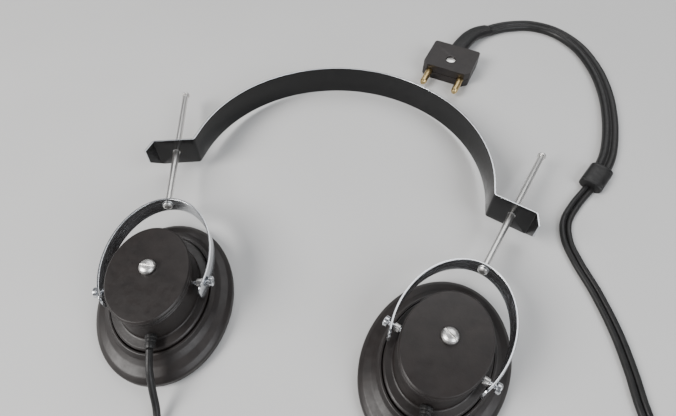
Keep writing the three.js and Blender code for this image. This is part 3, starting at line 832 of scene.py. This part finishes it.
def lip_corner(side):
    """A cutter for the corner below one lip's end."""
    front = Vector((LIP_END[1], BAND_HEIGHT / 2 - LIP_END_HEIGHT))
    back = Vector((OUTER_CORNER[1], -BAND_HEIGHT / 2))
    middle = (front + back) / 2
    depth = 20.0
    slope = Matrix.Rotation(math.atan2(back.y - front.y, back.x - front.x), 4, "X")
    place = BAND_FRAME @ Matrix.Translation((side * OUTER_CORNER[0], *middle)) @ slope
    return block((12, 30, depth), place @ Matrix.Translation((0, 0, -depth / 2)))


def make_headband():
    path = band_path()
    sections = [strip_section(STRIP / 2, BAND_HEIGHT / 2)] * len(path)
    band = sweep("headband_strip", path, sections, BAND_FRAME, level_across(path))
    holes = [drill(ROD_HOLE_RADIUS, 76, 88, FRAMES[name]["yoke"], ALONG_Y) for name in SIDES]
    cut(band, *holes, lip_corner(-1), lip_corner(1))
    band.data.materials.clear()
    band.data.materials.append(MATERIALS["enamel"])
    band.data.materials.append(MATERIALS["steel"])
    up = (BAND_FRAME.to_3x3() @ Vector((0, 0, 1))).normalized()
    lip_line = (BAND_FRAME @ Vector((0, OUTER_CORNER[1] - 1, 0))).y
    for face in band.data.polygons:
        on_edge = abs(face.normal.dot(up)) > 0.5
        on_lip_end = face.center.y < lip_line and abs(face.normal.x) < 0.6
        face.material_index = 1 if on_edge or on_lip_end else 0
    return finish_piece(band, "headband", None, "enamel", "headband")


# ------------------------------------------------------------------------------------------------------------
# Rods and yokes
# ------------------------------------------------------------------------------------------------------------

ROD_RADIUS = 1.55
ROD_TIP = 125.3
YOKE_HALF_WIDTH = 22.5
YOKE_HALF_LENGTH = 32.5
YOKE_CENTRE_Y = 9.5
YOKE_LEG_END_Y = -8.0
YOKE_STRIP_WIDTH = 8.0
YOKE_END_LENGTH = 2.6  # over which each end of the yoke's strip is rounded
YOKE_END_DROP = 2.2
TENON_RADIUS = 0.9
TENON_HOLE_RADIUS = TENON_RADIUS + GAP
ROD_CAP_LENGTH = 2.1
ROD_CAP_DEPTH = 1.2  # of the cap's bore, which takes the tenon on the rod's end
YOKE_APEX = YOKE_CENTRE_Y + YOKE_HALF_LENGTH


def make_yoke(name):
    start = math.asin((YOKE_LEG_END_Y - YOKE_CENTRE_Y) / YOKE_HALF_LENGTH)
    turn = np.linspace(start, math.pi - start, 220)
    path = np.column_stack([
        YOKE_HALF_WIDTH * np.cos(turn), YOKE_CENTRE_Y + YOKE_HALF_LENGTH * np.sin(turn), np.zeros(len(turn))
    ])
    along = lengths_along(path)
    from_end = np.clip(np.minimum(along, along[-1] - along), 0.01, YOKE_END_LENGTH)
    drop = 1 - np.sqrt(1 - (1 - from_end / YOKE_END_LENGTH) ** 2)
    heights = YOKE_STRIP_WIDTH / 2 - YOKE_END_DROP * drop
    sections = [strip_section(STRIP / 2, h) for h in heights]
    place = FRAMES[name]["yoke"]
    yoke = sweep(f"yoke_strip_{name}", path, sections, place, level_across(path))
    pivot_holes = drill(TENON_HOLE_RADIUS, -30, 30, place, Matrix.Translation((0, PIVOT_Y, 0)) @ ALONG_X)
    rivet_hole = drill(TENON_HOLE_RADIUS, YOKE_APEX - 3, YOKE_APEX + 3, place, ALONG_Y)
    cut(yoke, pivot_holes, rivet_hole)
    return finish_piece(yoke, f"yoke_{name}", MATERIALS["steel"], "steel", f"yoke_{name}")


def make_rod(name):
    rivet = YOKE_APEX - STRIP / 2 - GAP
    shoulder = YOKE_APEX + STRIP / 2 + GAP
    end = ROD_TIP - ROD_CAP_LENGTH
    profile = rounded([
        (0, rivet - 1.35), (1.3, rivet - 1.2, 0.6), (2.2, rivet - 0.6, 0.25), (2.2, rivet, 0.05),
        (TENON_RADIUS, rivet), (TENON_RADIUS, shoulder), (2.0, shoulder, 0.08), (2.0, shoulder + 0.9, 0.2),
        (ROD_RADIUS, shoulder + 1.3, 0.3), (ROD_RADIUS, end, 0.12), (TENON_RADIUS, end),
        (TENON_RADIUS, end + ROD_CAP_DEPTH), (0, end + ROD_CAP_DEPTH),
    ])
    place = FRAMES[name]["yoke"] @ ALONG_Y
    rod = lathe(f"rod_shaft_{name}", profile, place, segments=48)
    return finish_piece(rod, f"rod_{name}", MATERIALS["nickel"], "nickel", f"rod_{name}")


def make_rod_cap(name):
    mouth = ROD_TIP - ROD_CAP_LENGTH + GAP
    floor = mouth + ROD_CAP_DEPTH
    profile = rounded([
        (0, floor), (TENON_HOLE_RADIUS, floor), (TENON_HOLE_RADIUS, mouth), (2.15, mouth, 0.2),
        (2.15, ROD_TIP - 0.7, 0.35), (1.5, ROD_TIP - 0.05, 0.5), (0, ROD_TIP),
    ])
    cap = lathe(f"rod_end_{name}", profile, FRAMES[name]["yoke"] @ ALONG_Y, segments=48)
    return finish_piece(cap, f"rod_{name}", MATERIALS["nickel"], "nickel", f"rod_cap_{name}")


# ------------------------------------------------------------------------------------------------------------
# Earpieces
# ------------------------------------------------------------------------------------------------------------

OVAL = 1.28
EAR_SEGMENTS = 160
COVER_TOP = 28.5
SCREW_Y = 2.0  # the cover screw stands on the rod's side of the middle
SCREW_HOLE_RADIUS = 1.8
SCREW_PLACE = Matrix.Translation((0, SCREW_Y, 0))
LEAD_EXIT_HEIGHT = 15.6
LEAD_EXIT_TURN = {"left": 0, "right": 12}  # in degrees round the housing, from the point opposite the rod
SLOT_HEADINGS = {"left": 8, "right": -37}  # of the cover screws' slots, in degrees from +X


def ear_lathe(piece_name, outline, place, steps=5):
    return lathe(piece_name, rounded(outline, steps), place, EAR_SEGMENTS, OVAL)


def make_ear_cap(name):
    place = FRAMES[name]["ear"]
    cap = ear_lathe(f"ear_cap_shell_{name}", [
        (3.4, 3.4), (3.4, 2.6, 0.35), (22, 1.5, 4), (25.6, 0.0, 1.2), (27.9, 0.0, 0.9), (29.2, 1.3, 1.0),
        (29.25, 4.5, 1.8), (27.4, 6.2, 2.4), (24.5, 7.5, 3.5), (22.6, 9.0, 2.0), (21.6, 10.9, 0.5),
        (20.8, 10.9, 0.2), (20.75, 5.2), (16.8, 5.2), (16.6, 4.3), (3.4, 4.3, 0.3),
    ], place)
    ring_radius, count = 9, 6
    holes = []
    for i in range(count):
        angle = 2 * math.pi * i / count
        at = Matrix.Translation((ring_radius * math.cos(angle), ring_radius * OVAL * math.sin(angle), 0))
        holes.append(drill(1.4, 0.5, 6, place, at))
    cut(cap, *holes)
    return finish_piece(cap, f"earpiece_{name}", MATERIALS["bakelite"], "bakelite", f"ear_cap_{name}")


def make_housing(name):
    housing = ear_lathe(f"housing_cup_{name}", [
        (0, 22.8), (13.9, 22.8), (15, 12.4), (17.4, 11), (17.4, 6.1), (20.4, 6.1), (20.4, 11.8, 0.5),
        (19.8, 12.35, 0.4), (16.9, 12.8, 0.9), (16.1, 23.1, 0.3), (16.45, 23.4, 0.15), (16.45, 24.3, 0.25),
        (16.1, 24.6, 0.15), (0, 24.6),
    ], FRAMES[name]["ear"])
    cut(housing, drill(SCREW_HOLE_RADIUS, 20, 30, FRAMES[name]["ear"], SCREW_PLACE))
    return finish_piece(housing, f"earpiece_{name}", MATERIALS["bakelite"], "bakelite", f"housing_{name}")


def make_cover(name):
    cover = ear_lathe(f"cover_disc_{name}", [
        (0, 24.9), (15.8, 24.9, 0.2), (16.65, 25.5, 0.2), (16.65, 26.0, 0.15), (16.35, 26.3, 0.1),
        (16.35, 26.7, 0.1), (16.65, 27.0, 0.15), (16.65, 27.9, 0.3), (16.1, COVER_TOP, 0.25), (0, COVER_TOP),
    ], FRAMES[name]["ear"])
    cut(cover, drill(SCREW_HOLE_RADIUS, 20, 30, FRAMES[name]["ear"], SCREW_PLACE))
    return finish_piece(cover, f"earpiece_{name}", MATERIALS["bakelite"], "bakelite", f"cover_{name}")


def make_cover_screw(name):
    seat = COVER_TOP + GAP
    top = seat + 2.4
    profile = rounded([
        (0, 21.1), (1.5, 21.1), (1.5, seat), (3.3, seat, 0.08), (3.3, seat + 0.9, 0.35),
        (2.8, seat + 1.65, 0.8), (1.8, seat + 2.2, 1.6), (0, top),
    ])
    place = FRAMES[name]["ear"] @ SCREW_PLACE
    screw = lathe(f"cover_screw_head_{name}", profile, place, segments=72)
    heading = place.to_3x3() @ Vector((1, 0, 0))
    turn = math.radians(SLOT_HEADINGS[name]) - math.atan2(heading.y, heading.x)
    slot = Matrix.Translation((0, 0, top)) @ Matrix.Rotation(turn, 4, "Z")
    cut(screw, block((10, 0.75, 2.0), place @ slot))
    return finish_piece(screw, f"earpiece_{name}", MATERIALS["nickel"], "nickel", f"cover_screw_{name}")


def pivot_place(name, end):
    """A frame at the pivot whose Z points outwards along the pins, on one end of the axis."""
    return FRAMES[name]["pivot"] @ Matrix.Rotation(end * math.pi / 2, 4, "Y")


def make_pivot(name, end, end_name):
    """A slotted pivot screw and the collar that keeps the yoke off the housing."""
    place = pivot_place(name, end)
    top = 24.2
    head = rounded([
        (0, 14.8), (TENON_RADIUS, 14.8), (TENON_RADIUS, 22.4), (2.2, 22.4, 0.1), (2.2, 23.8, 0.3),
        (1.6, top, 0.3), (0, top),
    ])
    screw = lathe(f"pivot_pin_{end_name}_{name}", head, place, segments=48)
    cut(screw, block((6, 0.6, 1.0), place @ Matrix.Translation((0, 0, top)) @ Matrix.Rotation(0.6, 4, "Z")))
    node = f"pivot_screw_{end_name}_{name}"
    finish_piece(screw, f"earpiece_{name}", MATERIALS["steel"], "steel", node)
    bore = TENON_HOLE_RADIUS
    ring = rounded([(bore, 18.6), (bore, 17.3), (1.6, 17.3, 0.1), (1.6, 19.7, 0.15), (bore, 19.7)])
    collar = lathe(f"pivot_collar_{end_name}_{name}", ring, place, segments=40)
    finish_piece(collar, f"earpiece_{name}", MATERIALS["nickel"], "nickel", f"collar_{end_name}_{name}")


def make_lead_boot(name):
    """The ribbed rubber boot where the lead leaves the housing."""
    wall = OVAL * 16.8
    profile = rounded([
        (0, wall - 2.6), (1.5, wall - 2.6), (1.5, wall - 0.4), (2.35, wall - 0.4, 0.2),
        (2.35, wall + 0.9, 0.25), (2.0, wall + 1.2, 0.1), (2.15, wall + 1.5, 0.15), (2.1, wall + 2.2, 0.15),
        (1.85, wall + 2.5, 0.1), (2.0, wall + 2.8, 0.15), (1.9, wall + 4.0, 0.2), (1.62, wall + 5.0, 0.2),
        (0, wall + 5.0),
    ])
    exit_turn = Matrix.Rotation(math.radians(LEAD_EXIT_TURN[name]), 4, "Z")
    exit_place = Matrix.Translation((0, 0, LEAD_EXIT_HEIGHT)) @ exit_turn
    place = FRAMES[name]["ear"] @ exit_place @ ALONG_Y.inverted()
    boot = lathe(f"lead_boot_sleeve_{name}", profile, place, segments=40)
    material, slot = MATERIALS["cord_rubber"], "cord_rubber"
    return finish_piece(boot, f"earpiece_{name}", material, slot, f"lead_boot_{name}")


def make_earpiece(name):
    make_ear_cap(name)
    make_housing(name)
    make_cover(name)
    make_cover_screw(name)
    make_lead_boot(name)
    for end, end_name in ((-1, "left"), (1, "right")):
        make_pivot(name, end, end_name)


def finish_hidden_nodes():
    """The CAD nodes that stay as they are get their slot's material."""
    slots = {part["node"]: part["material_slot"] for part in frame["record"]["subparts"]}
    for node, thing in frame["nodes"].items():
        if not thing.hide_render:
            thing.data.materials.clear()
            thing.data.materials.append(MATERIALS[slots[node]])


make_headband()
for side_name in SIDES:
    make_yoke(side_name)
    make_rod(side_name)
    make_rod_cap(side_name)
    make_earpiece(side_name)
finish_hidden_nodes()
